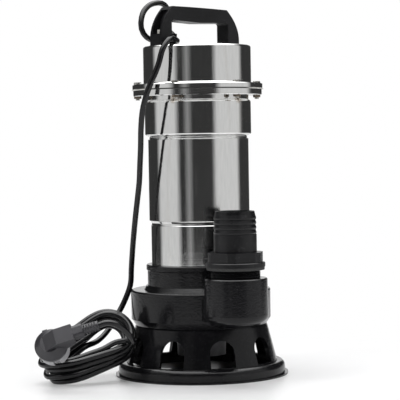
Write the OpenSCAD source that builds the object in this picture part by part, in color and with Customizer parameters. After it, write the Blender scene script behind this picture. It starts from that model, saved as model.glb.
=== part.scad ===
// Submersible sump pump with a cutter inlet, a steel motor barrel and a barbed hose tail.
// The pump axis is the Z axis. The foot stands on z = 0 and the discharge is at the front (-Y), to the right.

/* [Foot and strainer] */
// Radius of the thin lip that the pump stands on
foot_r = 106.5; // [105:0.5:112]
// Thickness of the lip
lip_t = 2; // [1.5:0.5:3]
// How far the bead above the lip stands back from the lip's edge
bead_inset = 3.8; // [3:0.1:5]
// Height of the bead's straight side
bead_h = 9; // [7:0.5:11]
// Width of the bead's rounded top edge
bead_round = 5.7; // [4:0.1:6.5]
// Height of the foot, which is the sill of the inlets
foot_h = 16.5; // [15:0.5:19]
// Radius of the strainer cone at the foot
cone_foot_r = 92.9; // [91:0.1:94]
// Radius of the strainer cone at its top
cone_top_r = 81.5; // [81:0.1:84]
// Height of the strainer's top above the ground
strainer_h = 61; // [58:0.5:66]
// Thickness of the strainer wall
strainer_wall = 5; // [4:0.25:5.5]
// Number of arched inlets
arch_count = 9; // [6:1:9]
// Width of one inlet
arch_w = 31; // [24:0.5:32]
// Height of the strainer wall left above the inlets
arch_head = 12; // [10:0.5:14]
// Direction of the first inlet, from the front towards the right
arch_first = 16.5; // [0:0.5:40]
// Thickness of the floor plate
plate_t = 4; // [3:0.5:6]
// Number of screws that hold the floor plate
plate_screws = 3; // [3:3:3]

/* [Pump chamber] */
// Radius of the volute casing
volute_r = 86; // [86:0.5:90]
// Height of the volute casing
volute_h = 44.5; // [44:0.5:48]
// Inner radius of the pump chamber
chamber_r = 66; // [65:0.5:67]
// Height of the pump chamber
chamber_h = 32; // [31:0.5:33]
// Thickness of the suction cover
cover_t = 5; // [4:0.5:6]
// Outer radius of the inlet collar under the suction cover
collar_r = 30; // [28:0.5:34]
// Length of the inlet collar below the strainer's top
collar_h = 37; // [34:0.5:40]
// Radius of the impeller
impeller_r = 60; // [56:0.5:63]
// Number of impeller vanes
vane_count = 5; // [3:1:6]
// Thickness of an impeller vane
vane_t = 4; // [3:0.5:5]
// Running gap above and below the impeller
impeller_gap = 1; // [0.5:0.25:1.5]
// Number of bolts between the volute and the oil chamber
volute_bolt_count = 4; // [3:1:6]
// Number of screws between the strainer and the volute
casing_screw_count = 6; // [3:1:6]

/* [Discharge and hose tail] */
// Room for the hose's wall between the hose tail and the edge of the gasket above
hose_room = 5.6; // [5:0.1:8]
// Direction of the discharge, from the front towards the right
outlet_turn = 21.7; // [0:0.1:45]
// Radius of the discharge boss at its top
boss_r = 37.3; // [36.5:0.1:38]
// Draft of the boss, as the growth of its radius down to the bowl
boss_draft = 1; // [0:0.25:2]
// Height of the boss above the strainer's top
boss_h = 65; // [62:0.2:70]
// Height of the bowl under the boss
bowl_h = 17; // [14:0.5:19]
// Radius of the hose tail's pipe thread
thread_r = 29.6; // [28:0.1:29.8]
// Length of thread that shows above the boss
thread_show = 9.8; // [6:0.2:12]
// Thickness of the rubber washer
washer_t = 3.7; // [2:0.1:5]
// Thickness of the round collar
tail_collar_t = 5.1; // [4:0.1:7]
// Radius of the round collar
tail_collar_r = 35; // [34.5:0.1:35.5]
// Width of the hexagon across its flats
hex_flats = 62; // [60:0.5:63]
// Height of the hexagon
hex_h = 11.8; // [10:0.2:14]
// Outer radius of the barbed stem
barb_r = 25.4; // [24.5:0.1:26]
// Length of the plain stretch of the stem
barb_plain_h = 21; // [18:0.5:30]
// Number of saw-tooth barbs
barb_count = 4; // [2:1:5]
// Pitch of the barbs
barb_pitch = 5.8; // [5:0.1:7]
// Length of the smooth nose above the barbs
barb_nose_h = 4; // [3:0.5:8]
// Radius of the bore through the hose tail
tail_bore_r = 20.5; // [18:0.5:21]

/* [Oil chamber and barrel] */
// Radius of the black neck, which is the oil chamber
neck_r = 65.2; // [64.8:0.1:65.6]
// Radius of the lip at the neck's top
neck_lip_r = 66.5; // [66.3:0.1:67]
// Height of the neck's lip
neck_lip_h = 6.5; // [5:0.5:7]
// Clear height of the oil chamber
oil_h = 11; // [10.5:0.25:13]
// Radius of the barrel's lower section
barrel_low_r = 59.8; // [59.5:0.1:60]
// Radius of the barrel's middle section
barrel_mid_r = 61.9; // [61:0.1:63]
// Radius of the barrel's upper section
barrel_top_r = 65.5; // [64.5:0.1:66]
// Radius of the barrel's neck under the flange
barrel_neck_r = 62.7; // [62.5:0.1:63]
// Depth of the two swaged grooves below the smaller neighbouring section
groove_depth = 0.9; // [0.5:0.1:1.2]
// Height of each groove
groove_h = 6.5; // [5:0.5:8]
// Height of the barrel's lower section
barrel_low_h = 54; // [50:0.5:58]
// Height of the barrel's middle section
barrel_mid_h = 98.5; // [96:0.5:104]
// Height of the barrel's upper section
barrel_top_h = 42; // [40:0.5:45]
// Height of the barrel's neck
barrel_neck_h = 4.9; // [4:0.1:6]
// Thickness of the barrel's sheet
barrel_t = 1.5; // [1:0.1:1.6]

/* [Flange and top can] */
// Radius of the lower flange ring
flange_low_r = 79.2; // [79:0.1:80]
// Thickness of the lower flange ring
flange_low_t = 7.4; // [6:0.2:9]
// Radius of the gasket
gasket_r = 81; // [80:0.1:82]
// Thickness of the gasket
gasket_t = 0.6; // [0.5:0.1:1]
// Radius of the upper flange ring
flange_top_r = 80.2; // [79.8:0.1:81]
// Thickness of the upper flange ring
flange_top_t = 6.6; // [5:0.2:8]
// Number of flange bolts
flange_bolt_count = 6; // [4:1:8]
// Radius of the circle that the flange bolts stand on
flange_bolt_pcr = 74.2; // [74.1:0.1:74.3]
// Radius of the top can
can_r = 66.4; // [66:0.1:66.6]
// Height of the top can above its flange
can_h = 46.7; // [44:0.5:52]
// Thickness of the can's sheet
can_t = 1.5; // [1:0.1:2]

/* [Handle] */
// Length of the handle over its feet
handle_l = 114; // [110:0.5:116]
// Width of the handle
handle_w = 25; // [23:0.5:28]
// Height of the handle
handle_h = 48; // [45:0.5:50]
// Thickness of a leg at the foot
handle_leg_t = 16; // [14:0.5:17]
// Thickness of the grip in its middle
handle_grip_t = 19; // [17:0.5:21]
// How far each end leans in towards the top
handle_lean = 17.5; // [14:0.5:19]
// Height of the solid block at each foot
handle_block_h = 14; // [12:0.5:16]
// Turn of the handle, anticlockwise from above
handle_turn = 33; // [30:1:36]

/* [Motor] */
// Radius of the shaft at its bearings
bearing_bore_r = 8.5; // [8:0.25:9]
// Outer radius of the bearings
bearing_r = 20; // [19:0.5:21]
// Width of a bearing
bearing_w = 12; // [10:0.5:13]
// Radius of the rotor core
rotor_r = 32; // [28:0.5:36]
// Air gap between rotor and stator
air_gap = 0.4; // [0.3:0.1:0.6]
// Height of the stator core
core_h = 110; // [90:1:115]
// Number of stator slots
slot_count = 24; // [18:6:24]
// Height of the end windings
winding_h = 22; // [16:1:24]
// Radius of the capacitor
capacitor_r = 18; // [15:0.5:18]
// Height of the capacitor
capacitor_h = 40; // [36:0.5:42]

/* [Cord] */
// Radius of the mains cord
cord_r = 3.5; // [3:0.1:3.5]
// Number of sides of the free cord
cord_sides = 10; // [8:1:12]
// Radius of the plug's cover
plug_head_r = 19.5; // [18.5:0.25:19.5]
// Length of the plug from its pins' middle to the end of its strain relief
plug_l = 61; // [60:0.5:63]
// Number of slots along each side of the strain relief
relief_slots = 5; // [3:1:5]

/* [Hidden] */
$fn = 72;

// Clearances and small standard sizes
fit = 0.2;
run_fit = 0.05;
ring_fn = 120;
m4_r = 2;
m5_r = 2.5;
m6_r = 3;

// Heights of the stack, from the ground up
z_cover = strainer_h + cover_t;
z_ceiling = z_cover + chamber_h;
roof_t = 8;
z_seat = z_ceiling + roof_t;
z_shelf = strainer_h + volute_h;
neck_step_h = 4.5;
z_neck_step = max(z_shelf, z_seat) + neck_step_h;
oil_floor_t = 5;
z_oil_floor = z_seat + oil_floor_t;
bracket_t = 8;
z_bracket = z_oil_floor + oil_h;
z_barrel = z_bracket + bracket_t;
z_neck_lip = z_barrel + neck_lip_h;
z_mid = z_barrel + barrel_low_h + groove_h;
z_top = z_mid + barrel_mid_h + groove_h;
z_barrel_neck = z_top + barrel_top_h;
z_flange = z_barrel_neck + barrel_neck_h;
z_gasket = z_flange + flange_low_t;
z_can_flange = z_gasket + gasket_t;
z_can = z_can_flange + flange_top_t;
z_can_top = z_can + can_h;

// Foot and strainer
bead_r = foot_r - bead_inset;
bead_top_r = bead_r - bead_round;
ledge_r = cone_foot_r - strainer_wall - 2;
plate_r = ledge_r + 4;
strainer_flange_t = 5;
strainer_flange_r = 58;
sill_rise = 0.5;
arch_spring = strainer_h - arch_head - arch_w / 2;
plate_boss_r = 5;
plate_boss_h = 10;
plate_boss_pcr = ledge_r - 4;
plate_screw_l = 10;

// Pump chamber
volute_foot_r = cone_top_r - 1.5;
volute_chamfer_h = 9;
volute_edge = 2;
cover_r = chamber_r + 2.6;
casing_pcr = cover_r + 3.5;
casing_screw_l = 17;
casing_head_h = 4;
casing_head_r = 4;
volute_bolt_pcr = 48;
roof_bore_r = 40;
spigot_r = roof_bore_r - fit;
collar_bore_r = collar_r - 8;
cutter_ring_r = collar_r - 4.5;
cutter_ring_h = 6.5;
z_collar = strainer_h - collar_h;
cover_eye_r = collar_bore_r + 3;

// Shaft line
shaft_low_r = 7;
shaft_mid_r = 9.5;
z_shaft = z_collar + 1;
cutter_gap = 0.6;
z_blade = z_collar + cutter_ring_h + cutter_gap;
blade_t = 5;
z_impeller = z_cover + impeller_gap;
impeller_back_t = 4;
z_impeller_back = z_ceiling - impeller_gap - impeller_back_t - 1;
hub_r = 13;
key_w = 4;
key_h = 16;
key_out = 1.6;

// Discharge
outlet_reach = gasket_r + barb_r + hose_room;
outlet = outlet_reach * [sin(outlet_turn), -cos(outlet_turn)];
z_boss = strainer_h + boss_h;
bowl_bottom = strainer_h + 4.5;
z_bowl = bowl_bottom + bowl_h;
boss_low_r = boss_r + boss_draft;
boss_wall = 6;
thread_l = 20;
thread_pitch = 2.31;
thread_depth = 1.3;
web_w = 62;
duct_h = 25;
duct_w = 34;
z_duct = z_cover + 2;
z_washer = z_boss + thread_show;
washer_r = tail_collar_r - 0.8;
z_tail_collar = z_washer + washer_t;
z_hex = z_tail_collar + tail_collar_t;
z_barb = z_hex + hex_h;
z_teeth = z_barb + barb_plain_h;
z_nose = z_teeth + barb_count * barb_pitch;
z_tail = z_nose + barb_nose_h;
hex_corner_r = hex_flats / 2 / cos(30);
hex_turned_r = hex_flats / 2 + 2.3;

// Oil chamber, brackets and bearings
seal_r = 15;
seal_seat_h = 4;
seal_gap = 0.2;
z_seal_seat = z_oil_floor - seal_seat_h + 1;
seal_face_h = 2.8;
z_seal_face = z_seal_seat + seal_seat_h + seal_gap;
z_bellows = z_seal_face + seal_face_h;
oil_wall_r = neck_r - 11;
bracket_r = barrel_low_r;
z_bearing = z_bracket + 2;
z_shoulder = z_bearing - 0.5;
bearing_wall = 6;
bearing_inner_r = bearing_bore_r + 3.2;
bearing_outer_r = bearing_r - 3.2;
ball_r = 3.4;
ball_count = 8;
ball_pcr = (bearing_inner_r + bearing_outer_r) / 2;
o_ring_r = 1.3;
plug_turn = 160;

// Motor
core_r = barrel_low_r - groove_depth - barrel_t - fit;
z_windings = z_bearing + bearing_w + 14;
z_core = z_windings + winding_h;
z_core_top = z_core + core_h;
z_windings_top = z_core_top + winding_h;
slot_depth = 14;
slot_w = 3.6;
tooth_lip = 1.5;
winding_in_r = rotor_r + air_gap + tooth_lip + 2;
winding_out_r = winding_in_r + slot_depth;
rotor_over = 3;
z_bracket_plate = z_flange + flange_low_t / 2;
upper_plate_r = barrel_neck_r + 3.2;
upper_rim_r = barrel_neck_r - barrel_t - 0.3;
z_upper_bearing = z_bracket_plate - 8 - bearing_w;
z_shaft_top = z_upper_bearing + bearing_w - 0.5;

// Barrel's shoulder and flange
barrel_shoulder = 3.5;
bolt_flats = 8;
bolt_head_h = 2.8;
nut_h = 2.5;
flange_first = -20.5;
can_fillet = 2.6;
can_corner = 3;
gasket_in_r = can_r - can_t - 1;

// Where the electrical pieces stand on the upper bracket
capacitor_at = [14, 22, 0];
clip_t = 1.5;
clip_h = 8;
terminal_at = [-42, -26, 0];
terminal_size = [36, 16, 13];
terminal_pitch = 9;
protector_at = [20, -32, 0];
protector_r = 11;
protector_h = 7;

// Gland, on the can's top behind the handle's near leg
gland_at = [-36, 33];
gland_flats = 19;
gland_base_h = 6;
gland_stem_r = 7.5;
gland_stem_h = 9;
gland_nut_flats = 20;
gland_nut_h = 14;
gland_nut_gap = 1.5;
gland_wire_r = 3;
gland_seat_h = 3;

// Handle
handle_at = [-2, 0];
handle_drop = 4.5;
handle_bore_round = 3;
handle_sag = 2;
channel_wall = 4;
channel_depth = 12.6;
channel_top_depth = 19;
channel_top = 4;
handle_screw_at = handle_l / 2 - 7.5;
screw_flats = 8;
screw_head_h = 5;

// Hank of cord: a flat spiral of loops in layers that twists from one end to the other
hank_at = [-136, -61, 39.5];
hank_turn = 23;
hank_rise = 26;
hank_run = 54;
hank_fold_r = 18;
hank_step = 8;
hank_layers = 4;
hank_per_layer = 2;
hank_loop_rings = 24;
hank_sides = 6;
hank_twist = [2, 58];
hank_first = 2;
hank_last = 182;

// Plug: the middle of its cover, and its turn from a plug that stands on its pins with the cord along +X
plug_at = [-174.7, -128, 52.6];
plug_rot = [63.5, -17.2, 0.2];
plug_dir = [cos(plug_rot[1]) * cos(plug_rot[2]), cos(plug_rot[1]) * sin(plug_rot[2]), -sin(plug_rot[1])];
plug_up = [
    cos(plug_rot[2]) * sin(plug_rot[1]) * cos(plug_rot[0]) + sin(plug_rot[2]) * sin(plug_rot[0]),
    sin(plug_rot[2]) * sin(plug_rot[1]) * cos(plug_rot[0]) - cos(plug_rot[2]) * sin(plug_rot[0]),
    cos(plug_rot[1]) * cos(plug_rot[0])
];
plug_rim_top = 3;
plug_rim_h = 5;
plug_cone_r = 11.5;
plug_cone_h = 8;
plug_face_h = 17;
plug_grip_w = 19;
plug_grip_h = 22.6;
plug_grip_crest = 8.2;
plug_grip_end = 30.2;
plug_neck_w = 15;
plug_neck_end = 42;
plug_axis_h = 14.6;
relief_r = 6.3;
relief_pitch = 3.2;
relief_slot_depth = 2.2;
relief_slot_w = 7;
pin_r = 2.4;
pin_l = 19;
pin_pitch = 19;

// Ring centres of the free cord, from the gland round the handle's leg and down to the hank
cord_top_ref = 403.7;
cord_route = [
    [-36, 33, 418.5], [-36, 33, 429], [-35.2, 32.7, 438.5], [-34.2, 30.4, 446.6],
    [-35.6, 27.2, 452.4], [-38.9, 23.3, 456.4], [-44, 18.6, 458.5], [-50.4, 12.6, 458.4],
    [-56.4, 6.6, 455.8], [-61.6, 1, 451.2], [-65.4, -4, 444.6], [-67.6, -8, 436],
    [-67.3, -10.3, 427.3], [-65.1, -10.7, 420], [-60.4, -9.5, 414.5], [-53, -6.8, 411.2],
    [-44.5, -4.4, 409.8], [-36.5, -6, 408.5], [-28, -13.5, 408.5],
    [-24, -24, 409], [-24.5, -35.5, 409.5], [-27.5, -46.5, 410.5], [-33, -57.5, 409],
    [-39, -63.5, 401], [-43, -66.5, 389.5], [-46.5, -67, 377.5], [-51, -67.5, 367],
    [-55.5, -67.5, 357], [-60, -66, 346], [-66, -60.5, 324.5], [-68.5, -53, 303],
    [-69.5, -45.5, 281.5], [-71, -39, 259.5], [-72.5, -32, 238], [-75.5, -24.5, 216],
    [-78.5, -17, 194.5], [-81, -9, 173.5], [-83.5, -0.5, 152], [-85.5, 8, 131],
    [-86, 12.5, 120.5], [-87.5, 16.5, 109.5], [-91, 17.5, 99], [-95.5, 16, 88.5],
    [-100.5, 12.5, 78.5], [-106, 8.5, 69.5], [-111.5, 2.5, 61], [-116.5, -4.5, 54],
    [-122, -13, 48.5], [-127.5, -22.5, 44.5], [-134.5, -32, 42]
];

// Ring centres of the cord between the hank and the plug
tail_route = [
    [-102.5, -74.5, 48.5], [-94, -75.5, 51.5], [-86.5, -80, 51.5], [-81.5, -88.5, 49.5],
    [-79, -98.5, 49.5], [-79, -109, 52.5], [-81.5, -119.5, 58.5], [-86.8, -129, 66.5],
    [-93.5, -135.8, 74], [-101.8, -139.8, 78.6]
];

// Directions are given from the front (-Y), growing towards the right (+X)
module towards(turn) {
    rotate([0, 0, turn - 90]) children();
}

// Copies of the children on a circle
module ring_of(count, first, r) {
    for (i = [0 : count - 1])
        towards(first + i * 360 / count) translate([r, 0, 0]) children();
}

module turned(points, fn = ring_fn) {
    rotate_extrude($fn = fn) polygon(points);
}

module tube(r_out, r_in, h) {
    difference() {
        cylinder(r = r_out, h = h);
        translate([0, 0, -1]) cylinder(r = r_in, h = h + 2);
    }
}

module hexagon(flats, h) {
    cylinder(r = flats / 2 / cos(30), h = h, $fn = 6);
}

// A cap screw with its head's seat at z = 0, its head above and its shank below
module hex_screw(r, l, flats, head_h) {
    hexagon(flats, head_h);
    translate([0, 0, -l]) cylinder(r = r, h = l + 0.01, $fn = 24);
}

module socket_screw(r, l, head_r, head_h) {
    difference() {
        union() {
            cylinder(r = head_r, h = head_h, $fn = 32);
            translate([0, 0, -l]) cylinder(r = r, h = l + 0.01, $fn = 24);
        }
        translate([0, 0, head_h - 2]) hexagon(r * 1.6, 3);
    }
}

// Points of an elliptical arc about c, from angle a to angle b
function arc(c, rx, rz, a, b, steps = 8) =
    [for (i = [0 : steps]) let (t = a + (b - a) * i / steps) c + [rx * cos(t), rz * sin(t)]];

// ---------- Foot and strainer ----------

module arch_2d() {
    translate([0, arch_spring]) circle(r = arch_w / 2);
    translate([-arch_w / 2, foot_h + sill_rise]) square([arch_w, arch_spring - foot_h - sill_rise]);
}

module strainer_shell() {
    cone_in_r = cone_top_r - strainer_wall;
    turned(concat(
        [[plate_r + fit, 0], [foot_r, 0], [foot_r, lip_t], [bead_r, lip_t], [bead_r, bead_h]],
        arc([bead_top_r, bead_h], bead_round, foot_h - bead_h, 10, 90),
        [[cone_foot_r, foot_h], [cone_top_r, strainer_h], [strainer_flange_r, strainer_h],
         [strainer_flange_r, strainer_h - strainer_flange_t],
         [cone_in_r, strainer_h - strainer_flange_t],
         [cone_foot_r - strainer_wall, foot_h], [ledge_r, foot_h - 4],
         [ledge_r, plate_t], [plate_r + fit, plate_t]]
    ));
}

module strainer_base() {
    color([0.06, 0.06, 0.065]) difference() {
        union() {
            strainer_shell();
            ring_of(plate_screws, arch_first + 180 / arch_count, plate_boss_pcr)
                translate([0, 0, plate_t]) cylinder(r = plate_boss_r, h = plate_boss_h, $fn = 32);
        }
        for (i = [0 : arch_count - 1])
            towards(arch_first + i * 360 / arch_count)
                translate([cone_top_r - strainer_wall - 6, 0, 0])
                    rotate([90, 0, 90]) linear_extrude(foot_r - cone_top_r) arch_2d();
        ring_of(plate_screws, arch_first + 180 / arch_count, plate_boss_pcr)
            cylinder(r = m4_r + 0.1, h = plate_screw_l + 2, $fn = 24);
        ring_of(casing_screw_count, 0, casing_pcr)
            translate([0, 0, strainer_h - strainer_flange_t - 1])
                cylinder(r = m5_r + 0.1, h = strainer_flange_t + 2, $fn = 24);
    }
}

module base_plate() {
    color([0.07, 0.07, 0.08]) difference() {
        cylinder(r = plate_r, h = plate_t, $fn = ring_fn);
        ring_of(plate_screws, arch_first + 180 / arch_count, plate_boss_pcr) {
            translate([0, 0, -1]) cylinder(r = m4_r + 0.1, h = plate_t + 2, $fn = 24);
            translate([0, 0, -1]) cylinder(r = 4, h = 3, $fn = 32);
        }
    }
}

module base_screws() {
    color("silver") ring_of(plate_screws, arch_first + 180 / arch_count, plate_boss_pcr)
        translate([0, 0, 2]) mirror([0, 0, 1]) socket_screw(m4_r, plate_screw_l - 2, 3.8, 1.7);
}

module casing_screws() {
    color("silver") ring_of(casing_screw_count, 0, casing_pcr)
        translate([0, 0, strainer_h - strainer_flange_t]) mirror([0, 0, 1])
            socket_screw(m5_r, casing_screw_l, casing_head_r, casing_head_h);
}

// ---------- Suction side ----------

module suction_cover() {
    color([0.16, 0.16, 0.17]) turned([
        [collar_bore_r, z_collar + cutter_ring_h], [cutter_ring_r, z_collar + cutter_ring_h],
        [cutter_ring_r, z_collar], [collar_r, z_collar], [collar_r, strainer_h],
        [cover_r, strainer_h], [cover_r, z_cover], [cover_eye_r, z_cover],
        [collar_bore_r, z_cover - 4]
    ]);
}

module cutter_ring() {
    color("lightsteelblue") difference() {
        translate([0, 0, z_collar]) tube(cutter_ring_r, 16, cutter_ring_h);
        for (i = [0 : 7])
            rotate([0, 0, i * 45]) translate([15, -1.5, z_collar - 1]) cube([5, 3, cutter_ring_h + 2]);
    }
}

module cutter_blade() {
    color("lightsteelblue") translate([0, 0, z_blade]) difference() {
        union() {
            cylinder(r = 11, h = blade_t);
            for (i = [0 : 2])
                rotate([0, 0, 120 * i]) translate([0, -4, 0]) cube([collar_bore_r - 1.5, 8, blade_t - 1.5]);
        }
        translate([0, 0, -1]) cylinder(r = shaft_low_r, h = blade_t + 2);
    }
}

module cutter_nut() {
    color("silver") translate([0, 0, z_shaft + 0.5]) difference() {
        hexagon(22, z_blade - z_shaft - 0.5);
        translate([0, 0, -1]) cylinder(r = shaft_low_r, h = 10);
    }
}

module spacer_sleeve() {
    color("silver") translate([0, 0, z_blade + blade_t])
        tube(10, shaft_low_r, z_impeller - z_blade - blade_t);
}

// ---------- Impeller ----------

// One curved vane, seen from below, between the hub and the rim
module vane_2d() {
    sweep_r = impeller_r * 0.6;
    outside = sweep_r + vane_t / 2;
    inside = sweep_r - vane_t / 2;
    polygon(concat(
        arc([sweep_r, 0], outside, outside, 75, 162),
        arc([sweep_r, 0], inside, inside, 162, 75)
    ));
}

module impeller() {
    color([0.3, 0.3, 0.32]) difference() {
        union() {
            translate([0, 0, z_impeller_back]) cylinder(r = impeller_r, h = impeller_back_t);
            translate([0, 0, z_impeller]) cylinder(r = hub_r, h = z_impeller_back - z_impeller + 2);
            for (i = [0 : vane_count - 1])
                rotate([0, 0, i * 360 / vane_count]) translate([0, 0, z_impeller + 0.5])
                    linear_extrude(z_impeller_back - z_impeller + 0.5) vane_2d();
        }
        translate([0, 0, z_impeller - 1]) cylinder(r = shaft_low_r, h = chamber_h);
        translate([0, -key_w / 2, z_impeller - 1]) cube([shaft_low_r + key_out, key_w, chamber_h]);
    }
}

module impeller_key() {
    color("silver") translate([shaft_low_r - key_out, -key_w / 2, z_impeller + 4])
        cube([2 * key_out, key_w, key_h]);
}

// ---------- Volute casing with the discharge boss ----------

module volute_casing() {
    boss_cavity_r = boss_r - boss_wall;
    color([0.07, 0.07, 0.075]) difference() {
        union() {
            turned(concat(
                [[0, strainer_h], [volute_foot_r, strainer_h], [volute_r, strainer_h + volute_chamfer_h]],
                arc([volute_r - volute_edge, z_shelf - volute_edge], volute_edge, volute_edge, 0, 90, 4),
                [[neck_r + 4.5, z_shelf], [neck_r + 1.8, z_neck_step], [0, z_neck_step]]
            ));
            translate(outlet) turned(concat(
                arc([0, z_bowl], boss_low_r, bowl_h, -90, 0, 12),
                [[boss_r, z_boss - 1], [boss_r - 1, z_boss], [0, z_boss]]
            ));
            towards(outlet_turn) translate([0, -web_w / 2, z_bowl - 9])
                cube([volute_r + 6, web_w, z_shelf - z_bowl + 2]);
        }
        translate([0, 0, strainer_h - 1]) cylinder(r = cover_r + fit, h = cover_t + 1, $fn = ring_fn);
        translate([0, 0, z_cover - 1]) cylinder(r = chamber_r, h = chamber_h + 1, $fn = ring_fn);
        translate([0, 0, z_ceiling - 1]) cylinder(r = roof_bore_r, h = roof_t + 2);
        translate([0, 0, z_seat]) cylinder(r = neck_r + fit, h = 20, $fn = ring_fn);
        translate(outlet) turned(concat(
            arc([0, z_bowl], boss_cavity_r, bowl_h - boss_wall, -90, 0, 12),
            [[boss_cavity_r, z_boss - thread_l - 3], [thread_r + 0.1, z_boss - thread_l - 1],
             [thread_r + 0.1, z_boss + 1], [0, z_boss + 1]]
        ));
        towards(outlet_turn) translate([chamber_r - 20, -duct_w / 2, z_duct])
            cube([outlet_reach - chamber_r + 10, duct_w, duct_h]);
        ring_of(casing_screw_count, 0, casing_pcr) translate([0, 0, strainer_h - 1])
            cylinder(r = m5_r + 0.1, h = casing_screw_l - strainer_flange_t + 2, $fn = 24);
        ring_of(volute_bolt_count, 45, volute_bolt_pcr) {
            translate([0, 0, z_ceiling - 1]) cylinder(r = m6_r + 0.1, h = roof_t + 2, $fn = 24);
            translate([0, 0, z_ceiling - 1]) cylinder(r = 5.2, h = 6, $fn = 32);
        }
    }
}

module volute_bolts() {
    color("silver") ring_of(volute_bolt_count, 45, volute_bolt_pcr)
        translate([0, 0, z_ceiling + 5]) mirror([0, 0, 1]) socket_screw(m6_r, roof_t - 2, 5, 4.5);
}

// ---------- Hose tail ----------

module hose_tail() {
    tooth = 1.2;
    ridges = floor(thread_show / thread_pitch);
    color([0.06, 0.06, 0.06]) difference() {
        union() {
            turned(concat(
                [[0, z_boss - thread_l], [thread_r, z_boss - thread_l], [thread_r, z_boss]],
                [for (i = [0 : ridges - 1]) each [
                    [thread_r - thread_depth, z_boss + (i + 0.25) * thread_pitch],
                    [thread_r, z_boss + (i + 0.75) * thread_pitch]]],
                [[thread_r - thread_depth, z_washer - 0.3], [thread_r - thread_depth, z_tail_collar],
                 [tail_collar_r, z_tail_collar], [tail_collar_r, z_hex - 0.8],
                 [tail_collar_r - 0.8, z_hex], [barb_r, z_hex], [barb_r, z_teeth]],
                [for (i = [0 : barb_count - 1]) each [
                    [barb_r - tooth * 0.5, z_teeth + i * barb_pitch + 0.1],
                    [barb_r - 0.1 * i, z_teeth + (i + 0.35) * barb_pitch],
                    [barb_r - tooth - 0.1 * i, z_teeth + (i + 1) * barb_pitch]]],
                [[barb_r - tooth * 1.9, z_tail], [0, z_tail]]
            ));
            translate([0, 0, z_hex - 0.01]) intersection() {
                rotate([0, 0, 21.5]) hexagon(hex_flats, hex_h + 0.01);
                cylinder(r = hex_turned_r, h = hex_h + 0.01);
            }
        }
        translate([0, 0, z_boss - thread_l - 1]) cylinder(r = tail_bore_r, h = z_tail - z_boss + thread_l + 2);
    }
}

module hose_tail_washer() {
    color([0.03, 0.03, 0.03]) translate([0, 0, z_washer])
        tube(washer_r, thread_r - thread_depth + 0.1, washer_t);
}

// ---------- Oil chamber and shaft seal ----------

module oil_chamber() {
    color([0.08, 0.08, 0.085]) difference() {
        turned([
            [seal_r + 2, z_ceiling + 1], [spigot_r, z_ceiling + 1], [spigot_r, z_seat],
            [neck_r, z_seat], [neck_r, z_barrel - 1], [neck_lip_r, z_barrel],
            [neck_lip_r, z_neck_lip - 1], [neck_lip_r - 1, z_neck_lip],
            [bracket_r + fit, z_neck_lip], [bracket_r + fit, z_bracket],
            [oil_wall_r, z_bracket], [oil_wall_r, z_oil_floor], [seal_r + 0.1, z_oil_floor],
            [seal_r + 0.1, z_seal_seat], [seal_r - 3, z_seal_seat],
            [seal_r - 3, z_seal_seat - 3], [seal_r + 2, z_seal_seat - 5]
        ]);
        ring_of(volute_bolt_count, 45, volute_bolt_pcr)
            translate([0, 0, z_seat - 1]) cylinder(r = m6_r + 0.1, h = 4, $fn = 24);
        towards(plug_turn) translate([oil_wall_r - 5, 0, z_oil_floor + oil_h / 2])
            rotate([0, 90, 0]) cylinder(r = 4.1, h = 30, $fn = 32);
    }
}

module oil_plug() {
    color("silver") towards(plug_turn) translate([neck_r, 0, z_oil_floor + oil_h / 2])
        rotate([0, 90, 0]) translate([0, 0, 0.2]) socket_screw(4, 9, 5.6, 3.5);
}

module seal_seat() {
    color("white") translate([0, 0, z_seal_seat]) tube(seal_r, shaft_mid_r + 1, seal_seat_h);
}

module seal_face() {
    color([0.15, 0.15, 0.15]) translate([0, 0, z_seal_face]) tube(seal_r - 1, shaft_mid_r, seal_face_h);
}

module seal_bellows() {
    top = z_shoulder - 1.5;
    fold = (top - z_bellows) / 4;
    color([0.05, 0.05, 0.05]) turned(concat(
        [[shaft_mid_r, z_bellows], [seal_r - 1.5, z_bellows]],
        [for (i = [0 : 3]) each [
            [seal_r - 3, z_bellows + (i + 0.3) * fold],
            [seal_r - 1.5, z_bellows + (i + 0.8) * fold]]],
        [[seal_r - 1.5, top], [shaft_mid_r, top]]
    ), 72);
}

// ---------- Bearings ----------

module bearing_outer(z) {
    groove_z = z + bearing_w / 2;
    turned(concat(
        [[bearing_outer_r, z], [bearing_r, z], [bearing_r, z + bearing_w], [bearing_outer_r, z + bearing_w]],
        arc([ball_pcr, groove_z], ball_r + run_fit, ball_r + run_fit, 36, -36, 8)
    ), 72);
}

module bearing_inner(z) {
    groove_z = z + bearing_w / 2;
    turned(concat(
        [[bearing_bore_r, z], [bearing_bore_r, z + bearing_w], [bearing_inner_r, z + bearing_w]],
        [for (i = [0 : 8]) let (t = 144 + 9 * i)
            [ball_pcr, groove_z] + (ball_r + run_fit) * [cos(t), sin(t)]],
        [[bearing_inner_r, z]]
    ), 72);
}

module bearing_balls(z) {
    translate([0, 0, z + bearing_w / 2]) {
        for (i = [0 : ball_count - 1])
            rotate([0, 0, i * 360 / ball_count]) translate([ball_pcr, 0, 0]) sphere(r = ball_r, $fn = 24);
        translate([0, 0, -1]) tube(ball_pcr + 0.8, ball_pcr - 0.8, 2);
    }
}

module lower_bearing_outer() { color("silver") bearing_outer(z_bearing); }
module lower_bearing_balls() { color("gold") bearing_balls(z_bearing); }
module lower_bearing_inner() { color("lightgray") bearing_inner(z_bearing); }
module upper_bearing_outer() { color("silver") bearing_outer(z_upper_bearing); }
module upper_bearing_balls() { color("gold") bearing_balls(z_upper_bearing); }
module upper_bearing_inner() { color("lightgray") bearing_inner(z_upper_bearing); }

// ---------- Lower bracket and its seal ----------

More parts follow.
